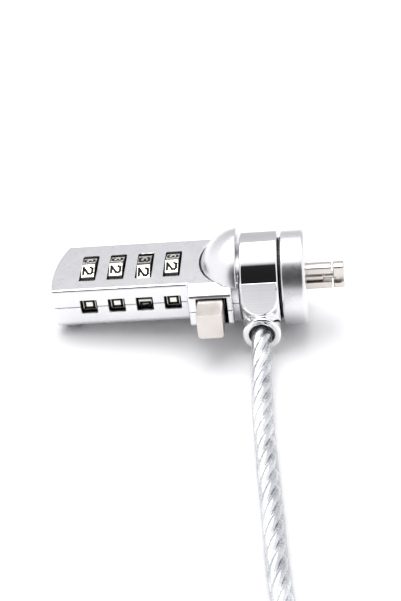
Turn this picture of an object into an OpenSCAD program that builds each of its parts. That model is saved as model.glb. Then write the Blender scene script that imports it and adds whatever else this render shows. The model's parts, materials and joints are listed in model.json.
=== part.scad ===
// Laptop cable lock with four combination dials, a side push button and a swivelling cable collar.
// Lock frame: X along the lock, + towards the tip, with 0 in the head disc just behind its outer face; -Y the
// button side; +Z up.
// pose() stands the lock on the plane z = 0, tipped so that it rests on its collar and its tail.

/* [Size] */
// Radius of the round head disc (mm)
disc_r = 10.25; // [9.8:0.05:10.8]
// Thickness of the head disc (mm)
disc_t = 5.1; // [4.9:0.02:5.14]
// Outer radius of the swivelling collar (mm)
collar_r = 10.5; // [10:0.05:11]
// Half height of the flat top of the case (mm)
top_z = 5.2; // [5:0.05:5.6]

/* [Dials] */
// Spacing of the four dials (mm)
dial_pitch = 6.1; // [5.9:0.05:6.3]
// Width of a dial (mm)
dial_w = 2.9; // [2.6:0.1:3.1]
// Corner radius of the ten sided dial (mm)
dial_r = 6.52; // [6.2:0.02:6.6]

/* [Tip] */
// Width of the T-bar and of the posts (mm)
tip_w = 2.6; // [2.4:0.1:2.8]
// Height of the T-bar and of the posts (mm)
tip_h = 5.8; // [5.4:0.1:6.2]
// Where the posts end, from the frame's 0 (mm)
post_l = 6.2; // [5.8:0.1:6.4]

/* [Button] */
// How far the button stands out of its housing (mm)
button_out = 5.7; // [5:0.1:6]
// Travel of the button (mm)
button_travel = 3.14; // [3:0.01:3.2]

/* [Cable] */
// Diameter of the jacketed cable (mm)
cable_d = 4.4; // [4:0.1:4.8]

/* [Hidden] */
$fn = 64;
e = 0.01;
rest_tilt = 4.94;
tail_rest_x = -51;
belly_z = -7.2;
lift = -tail_rest_x * sin(rest_tilt) - belly_z * cos(rest_tilt);
shift_x = 22.714;
shift_y = 3.167;

tail_x = -54.3;
case_end = -14.7;
neck_end = -13.4;
split_gap = 0.03;
back_y = 9.6;
lip_y = -8.2;
wall_y = -7.2;
recess_end = -24.2;
hous_y = -11.4;
dial_x = [-46.2, -46.2 + dial_pitch, -46.2 + 2 * dial_pitch, -46.2 + 3 * dial_pitch];
win_w = 3.5;
dial_room_r = 6.8;
win_y = 4.75;
groove = 0.3;
dome_z = 4.4;
btn_x0 = -22.1;
btn_x1 = -16.6;
core_r = 6.4;
face_x = 0.8;
disc_back = face_x - disc_t;
recess_x = face_x - 1.2;
boss_x = -9.1;
boss_z = -5.9;
boss_r = 4.15;
boss_front = -12.8;
ferrule_out = 12.0;
boss_bore = 2.7;
pin_y = -9.6;
pin_r = 0.5;
pinion_r = 2.0;
teeth = 10;
tooth_pitch = 2 * PI * pinion_r / teeth;
tooth_root = 0.42;
tooth_mid = 0.24;
tooth_tip = 0.12;
tooth_h = 0.3;
shaft_bore = 1.15;
shaft_r = 1.08;
tip_neck_r = 0.72;
bar_x0 = post_l + 0.3;
bar_x1 = post_l + 2.7;
sleeve_r = 4.2;
spindle_r = 1.55;
post_gap = 1.15;
spindle_travel = 2.0;
cam_x = -21.7;
cam_r = 0.6;
cam_slot_r = 0.68;
slot_run = norm([spindle_travel, button_travel]);
// x, y and the height of the head of each case screw
screws = [[-50.6, -3.9, -6.0], [-50.6, 4.6, -6.9], [-24.8, 6.6, -6.9]];
screw_r = 0.8;
screw_head_r = 1.5;
screw_top = 3.0;

zinc = [0.80, 0.80, 0.81];
chrome = [0.88, 0.88, 0.90];
nickel = [0.82, 0.78, 0.74];
black = [0.12, 0.12, 0.12];
steel = [0.62, 0.64, 0.67];
spring_grey = [0.45, 0.47, 0.50];
jacket = [0.70, 0.74, 0.78];

module pose()
  translate([shift_x, shift_y, lift]) rotate([0, -rest_tilt, 0]) children();
// a cylinder along X from x0 to x1
module xcyl(x0, x1, r)
  translate([x0, 0, 0]) rotate([0, 90, 0]) cylinder(h = x1 - x0, r = r);
// a cylinder along Y from y0 to y1
module ycyl(y0, y1, r)
  translate([0, y1, 0]) rotate([90, 0, 0]) cylinder(h = y1 - y0, r = r);
// a box between two opposite corners
module box(a, b)
  translate(a) cube(b - a);
// polygon of [y, z] points extruded along X
module along_x(x0, x1, pts)
  translate([x0, 0, 0]) rotate([90, 0, 90]) linear_extrude(height = x1 - x0) polygon(pts);
// polygon of [x, z] points extruded along Y
module along_y(y0, y1, pts)
  translate([0, y1, 0]) rotate([90, 0, 0]) linear_extrude(height = y1 - y0) polygon(pts);

function flat(v) = [for (a = v) for (b = a) b];
function unit(v) = v / norm(v);
function tan_at(p, i) = unit(p[min(i + 1, len(p) - 1)] - p[max(i - 1, 0)]);
// ring of m points with radius r round point i of p; u is never along p
function ring_at(p, i, r, m, u) =
  let (t = tan_at(p, i), a = unit(cross(t, u)), b = cross(a, t))
  [for (k = [0:m - 1]) p[i] + r * (cos(360 * k / m) * a + sin(360 * k / m) * b)];
// the m faces between ring i and ring i + 1
function band(i, m) =
  [for (k = [0:m - 1]) let (n = (k + 1) % m) [i * m + n, i * m + k, (i + 1) * m + k, (i + 1) * m + n]];
// closed tube of m sides and radius r along points p
module tube(p, r, m, u = [0, 0, 1]) {
  n = len(p);
  start = [for (k = [0:m - 1]) k];
  end = [for (k = [m - 1:-1:0]) (n - 1) * m + k];
  polyhedron(
    points = flat([for (i = [0:n - 1]) ring_at(p, i, r, m, u)]),
    faces = concat([start], [end], flat([for (i = [0:n - 2]) band(i, m)])),
    convexity = 10);
}
// smooth curve through hand-placed points, with s steps between them
function cat(p, i, t) =
  let (n = len(p), a = p[max(i - 1, 0)], b = p[i], c = p[i + 1], d = p[min(i + 2, n - 1)])
  0.5 * (2 * b + (c - a) * t + (2 * a - 5 * b + 4 * c - d) * t * t + (3 * b - a - 3 * c + d) * t * t * t);
function curve(p, s) =
  concat(flat([for (i = [0:len(p) - 2]) [for (k = [0:s - 1]) cat(p, i, k / s)]]), [p[len(p) - 1]]);

// ---------- case ----------
// section of the long part: wall with its lip at the top, belly, back
case_section = [[wall_y, 0], [wall_y, -4.2], [-6.7, -4.9], [-2.4, belly_z], [6.4, belly_z], [8.7, -5.9],
  [back_y, -4.2], [back_y, 4.3], [8.9, top_z], [lip_y, top_z], [lip_y, 4.5], [wall_y, 4.4]];
// section of the housing round the button
housing_section = [[-6, 4.9], [-6, -5.0], [-10.7, -4.0], [hous_y, -3.3], [hous_y, 3.9], [lip_y, top_z],
  [-6, top_z]];
// outline from the side, with the round underside of the tail
side_outline = [[-55, 5.3], [-55, -2.0], [-53.9, -3.9], [-53.0, -4.8], [tail_rest_x, belly_z], [-18, belly_z],
  [case_end + 0.1, -5.6], [case_end + 0.1, 5.3]];
module case_block() {
  intersection() {
    union() {
      along_x(tail_x - 1, case_end, case_section);
      along_x(recess_end, case_end, housing_section);
    }
    translate([0, 0, -10]) linear_extrude(height = 20) intersection() {
      translate([-24.3, -2.5]) circle(r = 30, $fn = 128);
      translate([tail_x, -12]) square([case_end - tail_x, 22]);
    }
    along_y(-13, 11, side_outline);
  }
}
// half of an ellipsoid over the head, grown by g
module dome_shape(g) {
  arc = [for (a = [0:7.5:90]) [(11 + g) * cos(a), (9 + g) * sin(a)]];
  translate([-13.75, 0.6, 0.2]) intersection() {
    rotate([0, -90, 0]) rotate_extrude() polygon(concat([[0, 0]], arc));
    box([-12, -13, dome_z - 0.2], [e, 13, 13]);
  }
}
module dial_room(x) {
  xcyl(x - win_w / 2, x + win_w / 2, dial_room_r);
  box([x - win_w / 2, -win_y, 2], [x + win_w / 2, win_y, 7]);
  box([x - 1.8, -8, -1.65], [x + 1.8, -5, 1.7]);
}
module slider_room() {
  box([-23.7, -9.6, -3.1], [-15.9, 8.0, 3.7]);
  box([-22.4, -12, -3.3], [-15.9, -9, 3.35]);
  // the spindle's cam pin comes back this far
  box([cam_x - spindle_travel - 1.0, -1.0, -2], [-23, 1.0, 3.7]);
}
// bore of the swivelling core, and the flats that keep it from turning
module core_room() {
  xcyl(-16.0, -12, core_r);
  intersection() {
    xcyl(-15.95, -14.85, 7.65);
    box([-17, -9, -4.05], [-14, 9, 4.05]);
  }
}
module screw_room(s) {
  translate([s[0], s[1], -8]) cylinder(h = 8 + screw_top + 0.2, r = screw_r);
  translate([s[0], s[1], -8]) cylinder(h = 8 + s[2] + 1.12, r = screw_head_r + 0.1);
}
module case_cuts() {
  for (x = dial_x) dial_room(x);
  // spindle bore, reset screw bore and room for the detent spring
  xcyl(-52.0, -23.0, 2.8);
  xcyl(-55.0, -51.9, 2.05);
  box([-48.6, 6.4, -3], [-26.2, 8.1, 3]);
  slider_room();
  core_room();
  for (s = screws) screw_room(s);
}
module neck(z0, z1) intersection() {
  xcyl(case_end - 0.2, neck_end, 8.9);
  box([-16, -10, z0], [-13, 10, z1]);
}
module half(z0, z1) difference() {
  union() {
    intersection() {
      case_block();
      box([-60, -20, z0], [-10, 20, z1]);
    }
    neck(z0, z1);
  }
  case_cuts();
  if (z1 > 0) dome_shape(groove);
}
module upper_shell() color(zinc) pose() half(split_gap, 12);
module lower_shell() color(zinc) pose() half(-12, -split_gap);
module head_dome() color(zinc) pose() difference() {
  dome_shape(0);
  xcyl(case_end - 0.3, -13, 8.95);
}
module case_screw(s) color(steel) pose() translate([s[0], s[1], s[2]]) difference() {
  union() {
    translate([0, 0, 0.05]) cylinder(h = 1.05, r = screw_head_r);
    cylinder(h = screw_top - s[2], r = screw_r);
  }
  translate([0, 0, -0.5]) cylinder(h = 1.0, r = 0.75, $fn = 6);
}
module case_screw_tail_front() case_screw(screws[0]);
module case_screw_tail_back() case_screw(screws[1]);
module case_screw_head() case_screw(screws[2]);

// ---------- head ----------
module swivel_core() color(steel) pose() difference() {
  union() {
    xcyl(case_end - 0.2, disc_back, core_r);
    intersection() {
      xcyl(-15.9, -14.9, 7.6);
      box([-17, -9, -4], [-14, 9, 4]);
    }
  }
  xcyl(-17, 0, shaft_bore);
}
module spacer_washer() color(black) pose() difference() {
  xcyl(-4.75, disc_back - 0.02, 8.8);
  xcyl(-5, -3, core_r);
}
// radius against height, from the back face to the front face
disc_section = [[shaft_bore, 0], [disc_r - 0.3, 0], [disc_r, 0.3], [disc_r, disc_t - 0.4],
  [disc_r - 0.4, disc_t], [shaft_bore, disc_t]];
module head_disc() color(zinc) pose() difference() {
  translate([disc_back, 0, 0]) rotate([0, 90, 0]) rotate_extrude() polygon(disc_section);
  xcyl(recess_x, 2, 4.5);
}
module slot_post_plate() color(nickel) pose() difference() {
  union() {
    xcyl(recess_x, face_x, 4.5);
    intersection() {
      union() {
        box([recess_x, -tip_w / 2, post_gap], [post_l, tip_w / 2, 4]);
        box([recess_x, -tip_w / 2, -4], [post_l, tip_w / 2, -post_gap]);
      }
      xcyl(recess_x, post_l, tip_h / 2 + 0.02);
    }
  }
  xcyl(-2, 2, shaft_bore);
}
// shaft, cone, thin neck and the cross bar with a pocket in each side
module t_bar() color(nickel) pose() difference() {
  union() {
    xcyl(-20.3, 3.8, shaft_r);
    translate([3.8 - e, 0, 0]) rotate([0, 90, 0]) cylinder(h = 1.3, r1 = shaft_r, r2 = tip_neck_r);
    xcyl(5.0, bar_x0 + 0.1, tip_neck_r);
    intersection() {
      xcyl(bar_x0, bar_x1, tip_h / 2 + 0.02);
      box([bar_x0 - 1, -tip_w / 2, -4], [bar_x1 + 1, tip_w / 2, 4]);
    }
  }
  for (m = [0, 1]) mirror([0, m, 0]) box([bar_x0 + 0.4, 0.85, -0.95], [bar_x1 - 0.3, 2, 0.95]);
  // groove for the clip
  difference() {
    xcyl(-16.4, -16.0, 1.3);
    xcyl(-16.5, -15.9, 0.8);
  }
}
module t_bar_clip() color(steel) pose() difference() {
  xcyl(-16.38, -16.02, 1.9);
  xcyl(-17, -15, 0.8);
  box([-17, -3, -0.6], [-15, 0, 0.6]);
}
// half outline of a tooth: its half width at the root, at the pitch line and at the tip
tooth = [[tooth_root, -2 * tooth_h], [tooth_mid, 0], [tooth_tip, tooth_h]];
function tooth_at(y, z, up) = concat(
  [for (t = tooth) [y + t[0], z + up * t[1]]],
  [for (i = [2:-1:0]) [y - tooth[i][0], z + up * tooth[i][1]]]);
module pinion_outline() {
  circle(r = pinion_r - 0.38);
  for (k = [0:teeth - 1]) rotate(360 * k / teeth) polygon(tooth_at(0, pinion_r, 1));
}
module t_bar_pinion() color(steel) pose() difference() {
  translate([-18.9, 0, 0]) rotate([0, 90, 0]) rotate(90 + 180 / teeth)
    linear_extrude(height = 2.2) pinion_outline();
  xcyl(-20, -15, shaft_r);
}

// ---------- button ----------
button_chamfer = 0.35;
button_low = -2.9;
button_top = 3.05;
button_outline = [[btn_x0 + button_chamfer, button_low], [btn_x1 - button_chamfer, button_low],
  [btn_x1, button_low + button_chamfer], [btn_x1, button_top - button_chamfer],
  [btn_x1 - button_chamfer, button_top], [btn_x0 + button_chamfer, button_top],
  [btn_x0, button_top - button_chamfer], [btn_x0, button_low + button_chamfer]];
module button_key() box([-20.6, -14.0, -1.4], [-18.2, -8.2, 1.4]);
module release_button() color(nickel) pose() difference() {
  along_y(hous_y - button_out, -9.4, button_outline);
  box([-20.6, -14.0, -1.4], [-18.2, -9.0, 1.4]);
}
module button_slider() color(steel) pose() difference() {
  union() {
    button_key();
    box([-23.5, -8.8, -1.4], [-16.6, -8.0, 3.5]);
    box([-23.5, -8.1, 2.55], [-16.6, 4.7, 3.5]);
    // rack teeth over the pinion
    for (k = [-4:3]) along_x(-18.9, -16.7, tooth_at(tooth_pitch * k, pinion_r, -1));
  }
  // slanted slot that draws the spindle back as the button goes in
  translate([cam_x, 0, 2]) cylinder(h = 2, r = cam_slot_r);
  translate([cam_x, 0, 2]) rotate([0, 0, atan2(button_travel, spindle_travel)])
    translate([-slot_run, -cam_slot_r, 0]) cube([slot_run, 2 * cam_slot_r, 2]);
  translate([cam_x - spindle_travel, -button_travel, 2]) cylinder(h = 2, r = cam_slot_r);
}
function coil(x, y, z, r, p, n, s) =
  [for (i = [0:n * s]) [x + r * cos(360 * i / s), y + p * i / s, z + r * sin(360 * i / s)]];
module button_spring() color(spring_grey) pose()
  tube(coil(-20.0, 5.6, 0.2, 1.6, 0.6, 3, 14), 0.2, 6, [0, 1, 0]);

// ---------- combination ----------
module dial_body(i, a) color(black) pose() translate([dial_x[i] - dial_w / 2, 0, 0]) rotate([a, 0, 0])
  rotate([0, 90, 0]) difference() {
    cylinder(h = dial_w, r = dial_r, $fn = 10);
    translate([0, 0, -1]) cylinder(h = dial_w + 2, r = sleeve_r);
  }
module dial_1() dial_body(0, 0);
module dial_2() dial_body(1, 0);
module dial_3() dial_body(2, 10);
module dial_4() dial_body(3, 0);
// code sleeve inside a dial, with a gate and its opposite for the spindle's fin
module sleeve(i) color(nickel) pose() difference() {
  xcyl(dial_x[i] - dial_w / 2, dial_x[i] + dial_w / 2, sleeve_r);
  xcyl(dial_x[i] - 5, dial_x[i] + 5, spindle_r + 0.2);
  box([dial_x[i] - 5, -0.75, -2.75], [dial_x[i] + 5, 0.75, 2.75]);
}
module code_sleeve_1() sleeve(0);
module code_sleeve_2() sleeve(1);
module code_sleeve_3() sleeve(2);
module code_sleeve_4() sleeve(3);
module locking_spindle() color(steel) pose() difference() {
  union() {
    xcyl(-49.6, -20.6, spindle_r);
    for (x = dial_x) box([x + 1.65, -0.55, 0], [x + 2.85, 0.55, 2.55]);
  }
  translate([cam_x, 0, -3]) cylinder(h = 6, r = cam_r);
}
module spindle_cam_pin() color(steel) pose() translate([cam_x, 0, -1.5]) cylinder(h = 4.95, r = cam_r);
spindle_spring_line = [for (i = [0:42])
  [-50.15 + 1.2 * i / 42, 2.2 * cos(360 * i / 14), 2.2 * sin(360 * i / 14)]];
module spindle_spring() color(spring_grey) pose() tube(spindle_spring_line, 0.18, 6, [1, 0, 0]);
// flat spring with a finger behind each dial
module dial_detent_spring() color(spring_grey) pose() difference() {
  union() {
    box([-48.4, 7.55, -2.8], [-26.4, 7.95, 2.8]);
    for (x = dial_x) {
      box([x - 0.7, 7.0, -2.6], [x + 0.7, 7.55, -1.9]);
      box([x - 0.7, 6.72, -2.6], [x + 0.7, 7.0, 1.0]);
    }
  }
  for (x = dial_x) box([x - 1.1, 7.3, -1.5], [x + 1.1, 8.2, 1.6]);
}
module code_reset_screw() color(nickel) pose() difference() {
  xcyl(-54.2, -52.2, 2.0);
  box([-54.5, -0.35, -1.6], [-53.6, 0.35, 1.6]);
}

// ---------- collar ----------
// radius against height, from the case side to the disc side
collar_section = [[core_r + 0.06, 0], [collar_r - 0.4, 0], [collar_r, 0.4], [collar_r, 7.78],
  [collar_r - 0.3, 8.08], [core_r + 0.06, 8.08]];
// section of the shield in front of the ring, down to the boss
shield_section = [[-9.34, 5.1], [-11.41, -1.9], [-11.41, boss_z], [-7, boss_z], [-5, -2], [-6, 4]];
// pin across the boss, h long on each side of the cable's line
module collar_pin(h)
  translate([boss_x + h, pin_y, boss_z]) rotate([0, -90, 0]) cylinder(h = 2 * h, r = pin_r);
module swivel_collar() color(chrome) pose() difference() {
  union() {
    translate([-13.0, 0, 0]) rotate([0, 90, 0]) rotate_extrude() polygon(collar_section);
    along_x(-13.2, -5.0, shield_section);
    translate([boss_x, 0, boss_z]) intersection() {
      ycyl(boss_front, -4, boss_r);
      box([-4.1, -20, -9], [4.1, 2, 9]);
    }
  }
  xcyl(-14, -4, core_r + 0.06);
  translate([boss_x, 0, boss_z]) ycyl(-14, -6.9, boss_bore);
  xcyl(-5.25, -4, 7.4);
  collar_pin(10);
}
module collar_friction_ring() color(black) pose() difference() {
  xcyl(-5.23, -4.78, 7.35);
  xcyl(-6, -4, core_r + 0.06);
}
module cable_ferrule() color(steel) pose() difference() {
  translate([boss_x, 0, boss_z]) ycyl(-ferrule_out, -6.9, boss_bore);
  collar_pin(10);
}
module ferrule_pin() color(steel) pose() collar_pin(4);

// ---------- cable ----------
// The cable leaves its ferrule, comes down to the surface and runs to the edge of the coil.
cable_r = cable_d / 2;
floor_z = cable_r + 0.05;
cable_start = [shift_x + boss_x * cos(rest_tilt) - boss_z * sin(rest_tilt), shift_y - ferrule_out,
  lift + boss_x * sin(rest_tilt) + boss_z * cos(rest_tilt)];
cable_route = [cable_start, cable_start + [0, -4, -0.1], [14.4, -20, 3.5], [14.9, -32, 2.4],
  [15.9, -45, floor_z], [17.3, -60, floor_z], [18.5, -74, floor_z], [20.4, -88, floor_z],
  [23.2, -100, floor_z], [26.6, -112, floor_z], [29.3, -125, floor_z]];
// The coil lies flat in two layers: the turns go inwards on the floor and outwards on top.
coil_at = [-6, -138];
coil_pitch = 4.5;
coil_turns = 4.5;
coil_far_r = 36;
coil_near_r = coil_far_r - coil_pitch * coil_turns;
coil_edge = 1.8;
coil_h = 2 * coil_pitch;
coil_in = coil_near_r - cable_r;
coil_out = coil_far_r + cable_r;
coil_section = [[coil_in, coil_edge], [coil_in + coil_edge, 0.05], [coil_out - coil_edge, 0.05],
  [coil_out, coil_edge], [coil_out, coil_h - coil_edge], [coil_out - coil_edge, coil_h],
  [coil_in + coil_edge, coil_h], [coil_in, coil_h - coil_edge]];
tail_route = [[30, -150, 6.3], [29.5, -158, 4.9], [28.4, -166, 3.2], [27.0, -173, 3.2],
  [25.36, -178.99, 3.3]];
// The eye: a pressed ferrule and a loop, in a frame whose -Y runs along the ferrule.
eye_at = [23.2, -178.2, 0];
eye_turn = -20;
eye_z = 3.3;
eye_l = 16;
eye_side = 2.3;
eye_r = 3.25;
loop_half = [[eye_side, -eye_l, eye_z], [4.5, -22, 2.8], [10, -31, floor_z], [14, -42, floor_z],
  [10.5, -53, floor_z]];
loop_back = [for (i = [4:-1:0]) [-loop_half[i][0], loop_half[i][1], loop_half[i][2]]];
loop_route = concat(loop_half, [[0, -58, floor_z]], loop_back);
module in_eye()
  translate(eye_at) rotate([0, 0, eye_turn]) children();
module cable() color(jacket) tube(curve(cable_route, 2), cable_r, 8);
module cable_coil() color(jacket)
  translate([coil_at[0], coil_at[1], 0]) rotate_extrude() polygon(coil_section);
module cable_tail() color(jacket) tube(curve(tail_route, 2), cable_r, 8);
module loop_ferrule() color(steel) in_eye() translate([0, 0, eye_z]) rotate([90, 0, 0])
  linear_extrude(height = eye_l) hull() for (s = [-1, 1])
    translate([s * eye_side, 0]) circle(r = eye_r, $fn = 32);
module cable_loop() color(jacket) in_eye() tube(curve(loop_route, 2), cable_r, 8);

upper_shell();
lower_shell();
head_dome();
swivel_core();
spacer_washer();
head_disc();
slot_post_plate();
case_screw_tail_front();
case_screw_tail_back();
case_screw_head();
dial_detent_spring();
spindle_spring();
dial_1();
dial_2();
dial_3();
dial_4();
code_sleeve_1();
code_sleeve_2();
code_sleeve_3();
code_sleeve_4();
locking_spindle();
spindle_cam_pin();
release_button();
button_slider();
button_spring();
t_bar();
t_bar_pinion();
t_bar_clip();
swivel_collar();
collar_friction_ring();
cable_ferrule();
ferrule_pin();
code_reset_screw();
cable();
cable_coil();
cable_tail();
loop_ferrule();
cable_loop();
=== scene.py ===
"""Laptop cable lock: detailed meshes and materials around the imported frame.

Shapes are worked out in the lock's own frame, in millimetres: X along the lock from the T-bar joint's
origin, -Y the button side, +Z up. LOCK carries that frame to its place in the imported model, in metres.
"""

import json
import math

import bpy
import numpy as np
from mathutils import Matrix, Vector


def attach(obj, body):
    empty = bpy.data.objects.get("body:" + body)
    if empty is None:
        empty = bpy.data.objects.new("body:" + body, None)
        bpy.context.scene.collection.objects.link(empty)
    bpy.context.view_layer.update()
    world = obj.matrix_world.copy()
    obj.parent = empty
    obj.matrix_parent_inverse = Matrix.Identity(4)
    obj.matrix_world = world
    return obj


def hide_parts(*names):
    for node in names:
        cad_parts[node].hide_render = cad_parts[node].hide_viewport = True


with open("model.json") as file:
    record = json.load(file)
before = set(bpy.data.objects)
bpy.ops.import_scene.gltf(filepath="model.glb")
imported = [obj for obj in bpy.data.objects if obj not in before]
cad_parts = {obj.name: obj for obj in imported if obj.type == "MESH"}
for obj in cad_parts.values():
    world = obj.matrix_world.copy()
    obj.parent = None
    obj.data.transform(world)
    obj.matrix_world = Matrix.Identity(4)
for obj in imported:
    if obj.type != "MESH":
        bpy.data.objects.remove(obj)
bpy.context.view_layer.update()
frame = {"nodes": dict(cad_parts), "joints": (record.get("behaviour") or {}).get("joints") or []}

MM = 0.001
JOINTS = {j["name"]: j for j in frame["joints"]}
FINE = 0.2


# ---------- the lock's frame ----------
def lock_matrix():
    """From the lock's frame in millimetres to the row frame in metres."""
    x = Vector(JOINTS["dial_1_turn"]["axis"]).normalized()
    y = Vector((0, 1, 0))
    z = x.cross(y)
    turn = Matrix((x, y, z)).transposed().to_4x4()
    return Matrix.Translation(Vector(JOINTS["t_bar_turn"]["pos_m"])) @ turn @ Matrix.Scale(MM, 4)


LOCK = lock_matrix()
EYE_TURN = math.radians(-20)
EYE = Matrix.Translation((0.0232, -0.1782, 0)) @ Matrix.Rotation(EYE_TURN, 4, "Z") @ Matrix.Scale(MM, 4)
DIAL_X = [(LOCK.inverted() @ Vector(JOINTS[f"dial_{i}_turn"]["pos_m"])).x for i in (1, 2, 3, 4)]
# degrees by which each drawn dial stands past its click
DIAL_TURN = [0, 0, 10, 0]


# ---------- solids as signed distances in millimetres ----------
def slab(v, lo, hi):
    return np.maximum(lo - v, v - hi)


def both(a, b, r=0.0):
    """Inside a and b, with the shared edge rounded to radius r."""
    return np.minimum(np.maximum(a, b), -r) + np.hypot(np.maximum(a + r, 0), np.maximum(b + r, 0))


def either(a, b, r=0.0):
    return -both(-a, -b, r)


def cut(a, b, r=0.0):
    return both(a, -b, r)


def block(p, lo, hi, r=0.0):
    """A box with every edge rounded to radius r."""
    q = [np.abs(v - (a + b) / 2) - (b - a) / 2 + r for v, a, b in zip(p, lo, hi)]
    out = np.sqrt(sum(np.maximum(v, 0) ** 2 for v in q))
    return out + np.minimum(np.maximum(np.maximum(q[0], q[1]), q[2]), 0) - r


def rod(u, v, w, radius, lo, hi, r=0.0):
    """A cylinder along w, with u and v measured from its axis."""
    return both(np.hypot(u, v) - radius, slab(w, lo, hi), r)


def plane(p, q, u, v):
    """The half plane right of the line from q to (u, v); p is the pair of coordinates."""
    a, b = q
    n = np.array([b - v, u - a], float)
    n /= np.hypot(*n)
    return n[0] * (p[0] - a) + n[1] * (p[1] - b)


# ---------- meshing ----------
def crossings(f, axes, values, axis):
    """Where the surface crosses the grid's edges along one axis: edge indices, points and normals."""
    near = [slice(None)] * 3
    far = [slice(None)] * 3
    near[axis] = slice(None, -1)
    far[axis] = slice(1, None)
    a, b = values[tuple(near)], values[tuple(far)]
    idx = np.argwhere((a < 0) != (b < 0))
    low = np.stack([axes[i][idx[:, i]] for i in range(3)])
    cell = axes[axis][1] - axes[axis][0]
    t0, t1 = np.zeros(len(idx)), np.ones(len(idx))
    f0 = a[tuple(idx.T)]
    inside = f0 < 0
    point = low.copy()
    for _ in range(7):
        mid = (t0 + t1) / 2
        point[axis] = low[axis] + cell * mid
        same = (f(point) < 0) == inside
        t0, t1 = np.where(same, mid, t0), np.where(same, t1, mid)
    point[axis] = low[axis] + cell * (t0 + t1) / 2
    return idx, point, gradient(f, point), inside


def gradient(f, point, step=0.004):
    g = []
    for i in range(3):
        up, down = point.copy(), point.copy()
        up[i] += step
        down[i] -= step
        g.append(f(up) - f(down))
    g = np.stack(g)
    return g / np.maximum(np.linalg.norm(g, axis=0), 1e-12)


def contour(f, lo, hi, cell):
    """The surface f = 0 by dual contouring: one vertex on the sharpest feature of each crossed cell."""
    axes = [np.arange(a - 1.5 * cell, b + 2.5 * cell, cell) for a, b in zip(lo, hi)]
    values = f(np.stack(np.meshgrid(*axes, indexing="ij")))
    shape = np.array(values.shape)
    flat = lambda c: (c[:, 0] * shape[1] + c[:, 1]) * shape[2] + c[:, 2]
    cells, points, normals, quads = [], [], [], []
    for axis in range(3):
        idx, point, normal, inside = crossings(f, axes, values, axis)
        u, v = np.eye(3, dtype=int)[[(axis + 1) % 3, (axis + 2) % 3]]
        ring = [flat(idx - a * u - b * v) for a, b in ((1, 1), (0, 1), (0, 0), (1, 0))]
        quad = np.stack(ring, 1)
        quads.append(np.where(inside[:, None], quad, quad[:, ::-1]))
        cells += ring
        points += [point] * 4
        normals += [normal] * 4
    cells, points, normals = np.concatenate(cells), np.concatenate(points, 1), np.concatenate(normals, 1)
    ids, where = np.unique(cells, return_inverse=True)
    n = len(ids)
    total = lambda w: np.bincount(where, w, n)
    count = total(np.ones(len(where)))
    mean = np.stack([total(points[i]) / count for i in range(3)], 1)
    offset = points - mean[where].T
    along = (normals * offset).sum(0)
    ata = np.empty((n, 3, 3))
    atb = np.empty((n, 3))
    for i in range(3):
        atb[:, i] = total(normals[i] * along)
        for j in range(3):
            ata[:, i, j] = total(normals[i] * normals[j])
    ata += 0.03 * np.eye(3)
    move = np.linalg.solve(ata, atb[:, :, None])[:, :, 0]
    corner = np.stack(np.unravel_index(ids, shape), 1)
    middle = np.stack([axes[i][corner[:, i]] for i in range(3)], 1) + cell / 2
    verts = np.clip(mean + move, middle - 0.6 * cell, middle + 0.6 * cell)
    return verts, np.searchsorted(ids, np.concatenate(quads))


# ---------- pieces ----------
def finish_piece(name, mesh, body, replaced, materials):
    ob = bpy.data.objects.new(name, mesh)
    bpy.context.scene.collection.objects.link(ob)
    for m in materials:
        mesh.materials.append(m)
    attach(ob, body)
    if replaced:
        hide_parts(*replaced)
    return ob


def mesh_of(name, verts, faces, place, smooth=True, angle=32):
    """A mesh from points in a local frame, put in place, shaded smooth up to an angle."""
    verts = np.asarray(verts, float)
    m = np.array(place)
    verts = verts @ m[:3, :3].T + m[:3, 3]
    mesh = bpy.data.meshes.new(name)
    mesh.from_pydata(verts.tolist(), [], [tuple(int(i) for i in f) for f in faces])
    mesh.validate()
    if smooth:
        mesh.polygons.foreach_set("use_smooth", [True] * len(mesh.polygons))
        mesh.set_sharp_from_angle(angle=math.radians(angle))
    return mesh


def solid(name, f, lo, hi, body, replaced, material, cell=None, hidden=None, dark=None):
    """A piece meshed from its distance function; where hidden(p) < 0 its faces take the dark material,
    painted shade for the hollow inside.
    """
    verts, quads = contour(f, lo, hi, cell or FINE)
    mesh = mesh_of(name, verts, quads, LOCK)
    materials = [material]
    if hidden is not None:
        centre = verts[quads].mean(1).T
        inner = (hidden(centre) < 0).astype(int)
        materials.append(dark)
        mesh.polygons.foreach_set("material_index", inner.tolist())
    return finish_piece(name, mesh, body, replaced, materials)


# ---------- materials ----------
def nodes_of(name):
    mat = bpy.data.materials.new(name)
    mat.use_nodes = True
    tree = mat.node_tree
    return mat, tree, tree.nodes["Principled BSDF"]


def noise(tree, scale, detail=3.0):
    """Object-space noise; scale is per metre."""
    n, link = tree.nodes, tree.links
    where = n.new("ShaderNodeTexCoord")
    tex = n.new("ShaderNodeTexNoise")
    tex.inputs["Scale"].default_value = scale
    tex.inputs["Detail"].default_value = detail
    link.new(where.outputs["Object"], tex.inputs["Vector"])
    return tex.outputs["Fac"]


def ramp(tree, fac, low, high, start=0.3, end=0.7):
    r = tree.nodes.new("ShaderNodeValToRGB")
    r.color_ramp.elements[0].position = start
    r.color_ramp.elements[1].position = end
    r.color_ramp.elements[0].color = (*low, 1)
    r.color_ramp.elements[1].color = (*high, 1)
    tree.links.new(fac, r.inputs["Fac"])
    return r.outputs["Color"]


def spread(tree, fac, low, high):
    m = tree.nodes.new("ShaderNodeMapRange")
    m.inputs["To Min"].default_value = low
    m.inputs["To Max"].default_value = high
    tree.links.new(fac, m.inputs["Value"])
    return m.outputs["Result"]


def bump(tree, bsdf, fac, strength, distance):
    b = tree.nodes.new("ShaderNodeBump")
    b.inputs["Strength"].default_value = strength
    b.inputs["Distance"].default_value = distance
    tree.links.new(fac, b.inputs["Height"])
    tree.links.new(b.outputs["Normal"], bsdf.inputs["Normal"])


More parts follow.
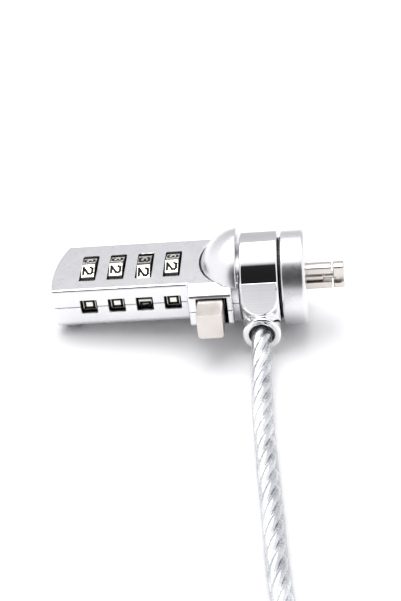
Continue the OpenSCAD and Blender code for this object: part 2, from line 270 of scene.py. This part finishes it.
def metal(name, low, high, rough, grain, depth):
    """Plated metal: colour and roughness drift slowly, and a fine grain breaks the reflection."""
    mat, tree, bsdf = nodes_of(name)
    bsdf.inputs["Metallic"].default_value = 1.0
    tree.links.new(ramp(tree, noise(tree, 160), low, high), bsdf.inputs["Base Color"])
    tree.links.new(spread(tree, noise(tree, 900), *rough), bsdf.inputs["Roughness"])
    bump(tree, bsdf, noise(tree, grain, 2.0), 1.0, depth)
    return mat


def plastic(name, low, high, rough, grain=6000, depth=4e-6):
    mat, tree, bsdf = nodes_of(name)
    tree.links.new(ramp(tree, noise(tree, 400), low, high), bsdf.inputs["Base Color"])
    tree.links.new(spread(tree, noise(tree, 1500), *rough), bsdf.inputs["Roughness"])
    bump(tree, bsdf, noise(tree, grain), 1.0, depth)
    return mat


def clear_jacket():
    """Clear vinyl skin: mostly see-through, with a sharp highlight that grows at grazing angles."""
    mat, tree, bsdf = nodes_of("clear_vinyl")
    n, link = tree.nodes, tree.links
    bsdf.inputs["Base Color"].default_value = (0.9, 0.92, 0.93, 1)
    link.new(spread(tree, noise(tree, 700), 0.04, 0.14), bsdf.inputs["Roughness"])
    bump(tree, bsdf, noise(tree, 1400), 0.6, 8e-6)
    clear = n.new("ShaderNodeBsdfTransparent")
    mix = n.new("ShaderNodeMixShader")
    edge = n.new("ShaderNodeLayerWeight")
    edge.inputs["Blend"].default_value = 0.25
    link.new(spread(tree, edge.outputs["Fresnel"], 0.02, 0.4), mix.inputs["Fac"])
    link.new(clear.outputs["BSDF"], mix.inputs[1])
    link.new(bsdf.outputs["BSDF"], mix.inputs[2])
    link.new(mix.outputs["Shader"], n["Material Output"].inputs["Surface"])
    return mat


SATIN = metal("satin_zinc", (0.80, 0.80, 0.815), (0.86, 0.86, 0.87), (0.24, 0.34), 12000, 2.5e-6)
CHROME = metal("polished_chrome", (0.86, 0.86, 0.87), (0.92, 0.92, 0.92), (0.03, 0.07), 5000, 0.6e-6)
NICKEL = metal("warm_nickel", (0.64, 0.595, 0.56), (0.74, 0.695, 0.66), (0.22, 0.40), 9000, 4e-6)
STEEL = metal("plain_steel", (0.58, 0.59, 0.61), (0.68, 0.69, 0.70), (0.25, 0.42), 7000, 4e-6)
STRAND = metal("rope_steel", (0.62, 0.63, 0.65), (0.94, 0.95, 0.96), (0.20, 0.34), 5000, 9e-6)
PLATE = metal("dial_plate", (0.82, 0.78, 0.70), (0.90, 0.87, 0.80), (0.12, 0.24), 9000, 3e-6)
BLACK = plastic("dial_black", (0.006, 0.006, 0.007), (0.014, 0.014, 0.015), (0.25, 0.4))
INK = plastic("digit_ink", (0.004, 0.004, 0.004), (0.010, 0.010, 0.010), (0.7, 0.9))
NYLON = plastic("black_nylon", (0.012, 0.012, 0.013), (0.025, 0.025, 0.027), (0.4, 0.6))
# painted shade: the unplated inside of the casting, darkened to near black to stand in for the shade in the
# hollows behind the windows and mouths
SHADED_INNER = plastic("raw_casting_painted_shade", (0.02, 0.02, 0.021), (0.05, 0.05, 0.052), (0.55, 0.75))
JACKET = clear_jacket()


# ---------- case ----------
TOP_Z, BELLY_Z, BACK_Y, WALL_Y, LIP_Y, HOUSE_Y = 5.2, -7.2, 9.6, -7.2, -8.2, -11.4
CASE_END, RECESS_END, TAIL_R = -14.7, -24.2, 30.0
WINDOW_W, WINDOW_Y, FRONT_W, FRONT_LO, FRONT_HI = 3.5, 4.75, 3.6, -1.65, 1.7
DOME = ((-13.75, 0.6, 0.2), (9.0, 11.0, 11.0), 4.4)
CORE_R = 6.4
SPLIT = 0.06


def case_block(p):
    x, y, z = p
    wall = both(WALL_Y - y, plane((y, z), (-2.4, BELLY_Z), -6.7, -4.9), 0.8)
    lip = both(LIP_Y - y, 4.5 - z, 0.12)
    front = either(wall, lip, 0.12)
    house_x = slab(x, RECESS_END, CASE_END)
    house_low = plane((y, z), (-6, -5.0), HOUSE_Y, -3.6)
    house = both(both(HOUSE_Y - y, house_low, 0.7), house_x, 0.5)
    slope = plane((y, z), (HOUSE_Y, 3.9), LIP_Y, TOP_Z)
    top = np.maximum(z - TOP_Z, slope)
    body = both(either(front, house, 0.25), top, 0.55)
    body = np.maximum(body, both(y - BACK_Y, z - TOP_Z, 1.3))
    body = np.maximum(body, both(y - BACK_Y, BELLY_Z - z, 2.4))
    tail = np.hypot(x + 24.3, y + 2.5) - TAIL_R
    body = both(body, tail, 0.5)
    body = np.maximum(body, both(tail, BELLY_Z - z, 3.2))
    body = np.maximum(body, both(tail, z - TOP_Z, 0.8))
    body = both(body, x - CASE_END, 0.25)
    neck = rod(y, z, x, 8.9, CASE_END - 1, -13.4, 0.3)
    return np.minimum(body, neck)


def dome_solid(p, grow=0.0):
    centre, radii, _ = DOME
    q = [(v - c) / (r + grow) for v, c, r in zip(p, centre, radii)]
    k0 = np.sqrt(sum(v * v for v in q))
    k1 = np.sqrt(sum((v / (r + grow)) ** 2 for v, r in zip(q, radii)))
    return k0 * (k0 - 1) / np.maximum(k1, 1e-9)


def case_cuts(p):
    x, y, z = p
    c = block(p, (-23.7, -9.6, -3.1), (-15.9, 8.0, 3.7), 0.1)
    c = np.minimum(c, block(p, (-24.7, -1.05, -2), (-23, 1.05, 3.7)))
    c = np.minimum(c, rod(y, z, x, CORE_R, -16.0, -12.0))
    c = np.minimum(c, rod(y, z, x, 2.8, -52.0, -23.0))
    c = np.minimum(c, rod(y, z, x, 2.05, -56.0, -51.9))
    for dx in DIAL_X:
        c = np.minimum(c, rod(y, z, x - dx, 6.8, -WINDOW_W / 2, WINDOW_W / 2))
    return c


def case_mouths(p):
    x, y, z = p
    m = block(p, (-22.4, -14, -3.3), (-15.9, -9, 3.35), 0.3)
    for dx in DIAL_X:
        q = (x - dx, y, z)
        m = np.minimum(m, block(q, (-WINDOW_W / 2, -WINDOW_Y, 2), (WINDOW_W / 2, WINDOW_Y, 9), 0.25))
        m = np.minimum(m, block(q, (-FRONT_W / 2, -10, FRONT_LO), (FRONT_W / 2, -5, FRONT_HI), 0.25))
    return m


def case_solid(p):
    return cut(cut(case_block(p), case_cuts(p)), case_mouths(p), 0.16)


def upper_shell(p):
    groove = np.maximum(dome_solid(p, 0.3), DOME[2] - p[2])
    shell = cut(case_solid(p), groove, 0.25)
    return both(shell, SPLIT - p[2], 0.2)


def lower_shell(p):
    x, y, z = p
    shell = both(case_solid(p), z + SPLIT, 0.2)
    for sx, sy, sz in ((-50.6, -3.9, -6.0), (-50.6, 4.6, -6.9), (-24.8, 6.6, -6.9)):
        shell = cut(shell, rod(x - sx, y - sy, z, 1.6, -9, sz + 1.12), 0.12)
    return shell


def head_dome(p):
    x, y, z = p
    d = both(dome_solid(p), x + 13.75, 0.3)
    return both(d, DOME[2] - z, 0.05)


# faces more than 0.45 mm inside the outer skin take the painted shade material
def inside_case(p):
    return case_block(p) + 0.45


case_lo, case_hi = (-54.6, -11.8, BELLY_Z), (-13.2, 10.0, TOP_Z)
solid("case_top", upper_shell, (*case_lo[:2], 0), case_hi, "case", ["upper_shell"], SATIN,
      hidden=inside_case, dark=SHADED_INNER)
solid("case_bottom", lower_shell, case_lo, (*case_hi[:2], 0), "case", ["lower_shell"], SATIN,
      hidden=inside_case, dark=SHADED_INNER)
solid("dome", head_dome, (-23, -11, 4), (-13.5, 12, 11.4), "case", ["head_dome"], SATIN)


# ---------- head ----------
FACE_X, RECESS_X, DISC_BACK = 0.8, -0.4, -4.3
HEAD_R, BOSS_R, TIP_R, TIP_HALF, SHAFT_HOLE_R = 10.25, 4.45, 2.92, 1.3, 1.15


def head_disc(p):
    x, y, z = p
    r = np.hypot(y, z) - HEAD_R
    disc = both(both(r, x - FACE_X, 0.8), DISC_BACK - x, 0.3)
    disc = cut(disc, rod(y, z, x, 4.5, RECESS_X, 2), 0.12)
    return cut(disc, rod(y, z, x, SHAFT_HOLE_R, -6, 2))


def post_plate(p):
    x, y, z = p
    boss = rod(y, z, x, BOSS_R, RECESS_X, FACE_X, 0.12)
    posts = both(slab(y, -TIP_HALF, TIP_HALF), slab(x, RECESS_X, 6.2), 0.22)
    posts = both(posts, np.hypot(y, z) - TIP_R, 0.25)
    posts = both(posts, SHAFT_HOLE_R - np.abs(z), 0.15)
    return cut(np.minimum(boss, posts), rod(y, z, x, SHAFT_HOLE_R, -6, 2))


def t_bar(p):
    x, y, z = p
    shaft = rod(y, z, x, 1.08, -20.3, 4.4, 0.2)
    neck = rod(y, z, x, 0.74, 3, 7)
    head = both(slab(y, -TIP_HALF, TIP_HALF), slab(x, 6.5, 8.9), 0.3)
    head = both(head, np.hypot(y, z) - TIP_R, 0.3)
    for side in (-1, 1):
        oval = rod((x - 7.7) / 1.15, z * 1.25, y - side * 1.6, 0.82, -0.75, 0.75)
        head = cut(head, oval, 0.12)
        low = rod((x - 7.4) / 1.5, (z + 0.75) * 1.3, y - side * 1.6, 0.9, -1.1, 1.1)
        head = cut(head, low, 0.1)
    bar = either(either(shaft, neck, 0.25), head, 0.15)
    return cut(bar, np.maximum(slab(x, -16.4, -16.0), 0.8 - np.hypot(y, z)))


SMALL = FINE * 0.6
solid("face_disc", head_disc, (-4.4, -10.4, -10.4), (0.9, 10.4, 10.4), "case", ["head_disc"],
      SATIN)
solid("posts", post_plate, (-0.6, -4.6, -4.6), (6.4, 4.6, 4.6), "case", ["slot_post_plate"],
      NICKEL, cell=SMALL)
solid("t_bar_tip", t_bar, (-20.5, -1.5, -3.0), (9.1, 1.5, 3.0), "t_bar_set", ["t_bar"],
      NICKEL, cell=SMALL)


# ---------- collar ----------
BOSS = (-9.1, -5.9, 4.15)
COLLAR_X = (-13.2, -5.0)


def collar(p):
    x, y, z = p
    across = slab(x, *COLLAR_X)
    ring = both(np.hypot(y, z) - 10.5, slab(x, -13.0, -4.92), 0.4)
    shield = 0.330 * z - 0.944 * y - 10.5
    u = np.hypot(x - BOSS[0], np.minimum(z - 2.4, 0)) - 4.05
    cheek = (u + shield) * math.sqrt(0.5)
    bulge = both(both(shield, cheek, 0.3), across, 0.4)
    bulge = both(bulge, np.maximum(z - 5.1, y + 4), 0.1)
    bulge = both(bulge, -8.5 - z, 0.3)
    boss = rod(x - BOSS[0], z - BOSS[1], y, BOSS[2], -12.8, -4, 0.5)
    boss = np.maximum(boss, across)
    body = either(np.minimum(ring, bulge), boss, 0.35)
    body = cut(body, rod(x - BOSS[0], z - BOSS[1], y, 2.7, -14, -6.9), 0.25)
    body = cut(body, rod(y, z, x, CORE_R + 0.06, -15, -3))
    return cut(body, rod(y, z, x, 7.4, -5.25, -4))


solid("collar", collar, (-13.4, -12.9, -10.7), (-4.8, 10.7, 10.7), "collar",
      ["swivel_collar"], CHROME, cell=FINE * 0.75)


# ---------- button ----------
def button(p):
    x, y, z = p
    side = both(slab(x, -22.1, -16.6), -2.9 - z, 0.9)
    b = both(both(side, z - 3.05, 0.3), slab(y, -17.1, -9.4), 0.25)
    return cut(b, block(p, (-20.6, -14.0, -1.4), (-18.2, -9.0, 1.4)))


solid("push_button", button, (-22.3, -17.3, -3.1), (-16.4, -9.2, 3.2), "button",
      ["release_button"], NICKEL)


# ---------- dials ----------
DIAL_W, APOTHEM, DIAL_BORE, CHAMFER = 2.9, 6.12, 4.25, 0.12
FACETS = 10
STEP = 360 / FACETS
HALF_EDGE = STEP / 2
PLATE_W, PLATE_H = 1.4, 1.7
INK_LOW, INK_HIGH = 0.03, 0.078
STROKES = {
    0: [[(-1, -1), (-1, 1), (1, 1), (1, -1), (-1, -1)]],
    1: [[(-0.5, 0.7), (0.1, 1), (0.1, -1)]],
    2: [[(-1, 0.55), (-0.7, 1), (0.6, 1), (1, 0.7), (1, 0.15), (-1, -0.95), (1, -1)]],
    3: [[(-1, 0.75), (-0.6, 1), (0.7, 1), (1, 0.7), (0.8, 0.1), (1, -0.3), (1, -0.7), (0.7, -1), (-0.7, -1),
         (-1, -0.75)], [(-0.2, 0.1), (0.8, 0.1)]],
    4: [[(0.5, -1), (0.5, 1), (-1, -0.4), (1, -0.4)]],
    5: [[(1, 1), (-1, 1), (-1, 0.1), (0.7, 0.1), (1, -0.2), (1, -0.7), (0.7, -1), (-1, -1)]],
    6: [[(0.9, 1), (-0.7, 1), (-1, 0.7), (-1, -1), (1, -1), (1, 0.1), (-1, 0.1)]],
    7: [[(-1, 1), (1, 1), (-0.3, -1)]],
    8: [[(-1, -1), (-1, 1), (1, 1), (1, -1), (-1, -1)], [(-1, 0), (1, 0)]],
    9: [[(1, -0.1), (-1, -0.1), (-1, 1), (1, 1), (1, -0.7), (0.7, -1), (-0.9, -1)]],
}
DIGIT_W, DIGIT_H, STROKE = 0.85, 0.98, 0.56


class Soup:
    """Faces gathered for one mesh, each with a material index."""

    def __init__(self):
        self.verts, self.faces, self.marks = [], [], []

    def prism(self, low, high, mark):
        """A closed prism between two loops of the same number of points."""
        n, at = len(low), len(self.verts)
        self.verts += [*low, *high]
        self.faces += [tuple(at + n + i for i in range(n)), tuple(at + n - 1 - i for i in range(n))]
        self.faces += [(at + i, at + (i + 1) % n, at + n + (i + 1) % n, at + n + i) for i in range(n)]
        self.marks += [mark] * (n + 2)


def on_facet(angle, apothem):
    """From facet coordinates (along X, up the facet, out of it) to the dial's own frame."""
    a = math.radians(angle)
    out = Vector((0, -math.sin(a), math.cos(a)))
    up = Vector((0, math.cos(a), math.sin(a)))
    return lambda u, v, h=0.0: tuple(Vector((u, 0, 0)) + up * v + out * (apothem + h))


def stroke_loop(a, b, half):
    """Outline of a stroke from a to b with square ends."""
    a, b = np.array(a, float), np.array(b, float)
    d = (b - a) / np.linalg.norm(b - a)
    n = np.array([-d[1], d[0]]) * half
    a, b = a - d * half, b + d * half
    return [a - n, b - n, b + n, a + n]


def dial(index):
    soup = Soup()
    corner = APOTHEM / math.cos(math.radians(HALF_EDGE))
    half = DIAL_W / 2
    profile = [(-half, DIAL_BORE), (-half, corner - CHAMFER), (-half + CHAMFER, corner)]
    profile += [(-x, r) for x, r in reversed(profile)]
    for x, r in profile:
        for i in range(FACETS):
            a = math.radians(STEP * i)
            soup.verts.append((x, -r * math.sin(a), r * math.cos(a)))
    for k in range(len(profile)):
        m = (k + 1) % len(profile)
        for i in range(FACETS):
            j = (i + 1) % FACETS
            soup.faces.append((k * FACETS + i, m * FACETS + i, m * FACETS + j, k * FACETS + j))
            soup.marks.append(0)
    corners = ((-1, -1), (1, -1), (1, 1), (-1, 1))
    for digit, lines in STROKES.items():
        place = on_facet(90 - STEP * digit, APOTHEM)
        outline = lambda s, t: [place(a * (PLATE_W - s), b * (PLATE_H - s), t) for a, b in corners]
        soup.prism(outline(0, -0.02), outline(0.04, 0.05), 1)
        for line in lines:
            # the top of each digit points along +X
            pts = [(DIGIT_H * b, -DIGIT_W * a) for a, b in line]
            for a, b in zip(pts, pts[1:]):
                loop = stroke_loop(a, b, STROKE / 2)
                low, high = ([place(u, v, t) for u, v in loop] for t in (INK_LOW, INK_HIGH))
                soup.prism(low, high, 2)
    turn = Matrix.Rotation(math.radians(DIAL_TURN[index]), 4, "X")
    place = LOCK @ Matrix.Translation((DIAL_X[index], 0, 0)) @ turn
    name = f"number_dial_{index + 1}"
    mesh = mesh_of(name, soup.verts, soup.faces, place, smooth=False)
    number = index + 1
    finish_piece(name, mesh, f"dial_{number}_set", [f"dial_{number}"], [BLACK, PLATE, INK])
    mesh.polygons.foreach_set("material_index", soup.marks)


for i in range(4):
    dial(i)


# ---------- cable ----------
CABLE_R = 0.0022
FLOOR_Z = 0.00225
COIL = (-0.006, -0.138)
COIL_FAR, COIL_PITCH, COIL_TURNS, PER_TURN = 0.036, 0.0045, 4.5, 16


def catmull(points, step=0.001):
    """A smooth curve through the points, sampled evenly."""
    p = np.asarray(points, float)
    p = np.vstack([2 * p[0] - p[1], p, 2 * p[-1] - p[-2]])
    t = np.linspace(0, 1, 24, endpoint=False)[:, None]
    out = []
    for a, b, c, d in zip(p, p[1:], p[2:], p[3:]):
        square, cube = 2 * a - 5 * b + 4 * c - d, 3 * b - a - 3 * c + d
        out.append(0.5 * (2 * b + (c - a) * t + square * t**2 + cube * t**3))
    out = np.vstack([*out, p[-2][None]])
    along = np.concatenate([[0], np.cumsum(np.linalg.norm(np.diff(out, axis=0), axis=1))])
    at = np.linspace(0, along[-1], int(along[-1] / step) + 1)
    return np.stack([np.interp(at, along, out[:, k]) for k in range(3)], 1)


def coil_points():
    """Two flat layers of turns, clockwise from above: inwards on the floor, then outwards on top."""
    n = int(COIL_TURNS * PER_TURN)
    pts = []
    for i in range(2 * n + 1):
        turns = i / PER_TURN
        r = COIL_FAR - COIL_PITCH * (turns if turns < COIL_TURNS else 2 * COIL_TURNS - turns)
        climb = min(max((turns - COIL_TURNS) / 0.7 + 0.5, 0), 1)
        climb = climb * climb * (3 - 2 * climb)
        a = -2 * math.pi * turns
        pts.append((COIL[0] + r * math.cos(a), COIL[1] + r * math.sin(a), FLOOR_Z + COIL_PITCH * climb))
    return pts


exit_point = LOCK @ Vector((BOSS[0], -12.0, BOSS[1]))
route = [
    tuple(exit_point),
    (exit_point.x, exit_point.y - 0.004, exit_point.z - 0.0001),
    (0.0144, -0.020, 0.0035),
    (0.0149, -0.032, 0.0024),
    (0.0159, -0.045, FLOOR_Z),
    (0.0173, -0.060, FLOOR_Z),
    (0.0185, -0.074, FLOOR_Z),
    (0.0204, -0.088, FLOOR_Z),
    (0.0232, -0.100, FLOOR_Z),
    (0.0266, -0.112, FLOOR_Z),
    (0.0293, -0.125, FLOOR_Z),
    *coil_points(),
    (0.0300, -0.150, 0.0063),
    (0.0295, -0.158, 0.0049),
    (0.0284, -0.166, 0.0032),
    (0.0270, -0.173, 0.0032),
    (0.02536, -0.17899, 0.0033),
]
main_line = catmull(route)

loop_half = [(2.3, -16, 3.3), (4.5, -22, 2.8), (10, -31, 2.25), (14, -42, 2.25), (10.5, -53, 2.25)]
loop_route = [*loop_half, (0, -58, 2.25), *((-x, y, z) for x, y, z in reversed(loop_half))]
loop_line = catmull([tuple(EYE @ Vector(p)) for p in loop_route])


def frames(line):
    """Two steady cross directions along a line."""
    t = np.gradient(line, axis=0)
    t /= np.linalg.norm(t, axis=1)[:, None]
    u = np.cross(t[0], (0, 0, 1))
    us = []
    for k in t:
        u = u - k * (u @ k)
        u /= np.linalg.norm(u)
        us.append(u)
    us = np.array(us)
    return us, np.cross(t, us)


def tube_faces(rows, sides, at=0):
    faces = []
    for i in range(rows - 1):
        for k in range(sides):
            a, b = at + i * sides + k, at + i * sides + (k + 1) % sides
            faces.append((a, b, b + sides, a + sides))
    faces.append(tuple(at + sides - 1 - k for k in range(sides)))
    faces.append(tuple(at + (rows - 1) * sides + k for k in range(sides)))
    return faces


def sweep(line, u, v, radius, sides):
    a = 2 * np.pi * np.arange(sides) / sides
    ring = np.cos(a)[None, :, None] * u[:, None, :] + np.sin(a)[None, :, None] * v[:, None, :]
    return (line[:, None, :] + radius * ring).reshape(-1, 3)


STRANDS, LAY, ROPE_R = 4, 0.0186, 0.00205
STRAND_SIDES, JACKET_SIDES = 10, 20


def rope(name, line, replaced):
    """Twisted steel strands in a clear skin; returns both pieces."""
    u, v = frames(line)
    s = math.sin(math.pi / STRANDS)
    strand_r = ROPE_R * s / (1 + s)
    centre_r = ROPE_R - strand_r
    along = np.concatenate([[0], np.cumsum(np.linalg.norm(np.diff(line, axis=0), axis=1))])
    verts, faces = [], []
    for k in range(STRANDS):
        a = 2 * np.pi * (along / LAY + k / STRANDS)
        off = np.cos(a)[:, None] * u + np.sin(a)[:, None] * v
        own = line + centre_r * off
        su, sv = frames(own)
        faces += tube_faces(len(own), STRAND_SIDES, sum(len(x) for x in verts))
        verts.append(sweep(own, su, sv, strand_r, STRAND_SIDES))
    here = Matrix.Identity(4)
    mesh = mesh_of(f"{name}_rope", np.vstack(verts), faces, here, angle=60)
    core = finish_piece(f"{name}_rope", mesh, "collar", replaced, [STRAND])
    tube = sweep(line, u, v, CABLE_R, JACKET_SIDES)
    mesh = mesh_of(f"{name}_jacket", tube, tube_faces(len(line), JACKET_SIDES), here, angle=60)
    skin = finish_piece(f"{name}_jacket", mesh, "collar", [], [JACKET])
    return core, skin


def ferrule(p):
    """Pressed oval sleeve with three crimp rings."""
    x, y, z = p
    oval = np.hypot(np.maximum(np.abs(x) - 2.3, 0), z - 3.3) - 3.25
    for c in (-3.5, -8, -12.5):
        oval = np.maximum(oval, oval + 0.35 - np.maximum(np.abs(y - c) - 0.5, 0) * 0.9)
    return both(oval, slab(y, -16, 0), 0.5)


def eye_ferrule():
    verts, quads = contour(ferrule, (-5.8, -16.2, -0.1), (5.8, 0.2, 6.8), FINE)
    mesh = mesh_of("eye_sleeve", verts, quads, EYE)
    return finish_piece("eye_sleeve", mesh, "collar", ["loop_ferrule"], [STEEL])


sleeve = eye_ferrule()
loop_core, loop_skin = rope("eye_loop", loop_line, ["cable_loop"])
core, skin = rope("cable", main_line, ["cable", "cable_coil", "cable_tail"])

# ---------- materials of the CAD nodes that stay ----------
KEPT = {
    # the hidden cable ferrule takes the same near-black painted shade
    "swivel_core": STEEL, "spacer_washer": NYLON, "collar_friction_ring": NYLON, "cable_ferrule": SHADED_INNER,
    "ferrule_pin": STEEL, "code_reset_screw": NICKEL, "t_bar_pinion": STEEL, "t_bar_clip": STEEL,
    "case_screw_tail_front": STEEL, "case_screw_tail_back": STEEL, "case_screw_head": STEEL,
    "dial_detent_spring": STEEL, "spindle_spring": STEEL, "button_spring": STEEL, "button_slider": STEEL,
    "locking_spindle": STEEL, "spindle_cam_pin": STEEL,
    **{f"code_sleeve_{i}": NICKEL for i in (1, 2, 3, 4)},
}
for name, material in KEPT.items():
    ob = frame["nodes"][name]
    ob.data.materials.clear()
    ob.data.materials.append(material)


# ---------- floor, light and camera ----------
def studio():
    me = bpy.data.meshes.new("floor")
    s = 3.0
    me.from_pydata([(-s, -s, 0), (s, -s, 0), (s, s, 0), (-s, s, 0)], [], [(0, 1, 2, 3)])
    floor = bpy.data.objects.new("floor", me)
    bpy.context.scene.collection.objects.link(floor)
    mat, tree, bsdf = nodes_of("studio_floor")
    bsdf.inputs["Base Color"].default_value = (0.92, 0.92, 0.92, 1)
    bsdf.inputs["Roughness"].default_value = 0.8
    bsdf.inputs["Specular IOR Level"].default_value = 0.1
    me.materials.append(mat)


def sky():
    """Soft white room: dark in front, grey low at the back, and a thin dark edge high at the back."""
    world = bpy.data.worlds.new("studio")
    bpy.context.scene.world = world
    world.use_nodes = True
    tree = world.node_tree
    n, link = tree.nodes, tree.links
    where = n.new("ShaderNodeTexCoord")

    def patch(direction, stops):
        dot = n.new("ShaderNodeVectorMath")
        dot.operation = "DOT_PRODUCT"
        dot.inputs[1].default_value = Vector(direction).normalized()
        link.new(where.outputs["Generated"], dot.inputs[0])
        r = n.new("ShaderNodeValToRGB")
        e = r.color_ramp.elements
        for k, (angle, value) in enumerate(sorted(stops, reverse=True)):
            at = max(math.cos(math.radians(angle)), 0)
            stop = e[k] if k < 2 else e.new(at)
            stop.position, stop.color = at, (value, value, value * 1.01, 1)
        link.new(dot.outputs["Value"], r.inputs["Fac"])
        return r.outputs["Color"]

    def times(a, b):
        m = n.new("ShaderNodeMix")
        m.data_type, m.blend_type = "RGBA", "MULTIPLY"
        m.inputs["Factor"].default_value = 1
        link.new(a, m.inputs["A"])
        link.new(b, m.inputs["B"])
        return m.outputs["Result"]

    front = patch((0, -0.80, 0.60), [(37, 1.0), (33, 0.6), (29, 0.02), (0, 0.015)])
    back = patch((0, 1, 0.35), [(60, 1.0), (35, 0.68), (0, 0.55)])
    edge = patch((0, 0.5, 0.87), [(5, 1.0), (4, 0.15), (2, 0.15), (0, 0.6)])
    link.new(times(times(front, back), edge), n["Background"].inputs["Color"])
    n["Background"].inputs["Strength"].default_value = 1.1


def area(name, place, target, size, power):
    lamp = bpy.data.lights.new(name, "AREA")
    lamp.shape = "RECTANGLE"
    lamp.size, lamp.size_y = size
    lamp.energy = power
    ob = bpy.data.objects.new(name, lamp)
    bpy.context.scene.collection.objects.link(ob)
    ob.location = place
    ob.rotation_euler = (Vector(target) - Vector(place)).to_track_quat("-Z", "Y").to_euler()


def camera():
    cam = bpy.data.cameras.new("camera")
    cam.sensor_width = 36
    cam.lens = 89.85
    cam.clip_start, cam.clip_end = 0.01, 20
    ob = bpy.data.objects.new("camera", cam)
    ob.location = (0.02021, -0.26495, 0.196074)
    ob.rotation_euler = [math.radians(a) for a in (54.5386, 1.2721, 3.3374)]
    bpy.context.scene.collection.objects.link(ob)
    bpy.context.scene.camera = ob


studio()
sky()
area("top_light", (-0.1, 0.15, 0.6), (0, 0, 0), (0.6, 0.5), 3.0)
camera()
scene = bpy.context.scene
scene.view_settings.view_transform = "Standard"
scene.view_settings.look = "None"
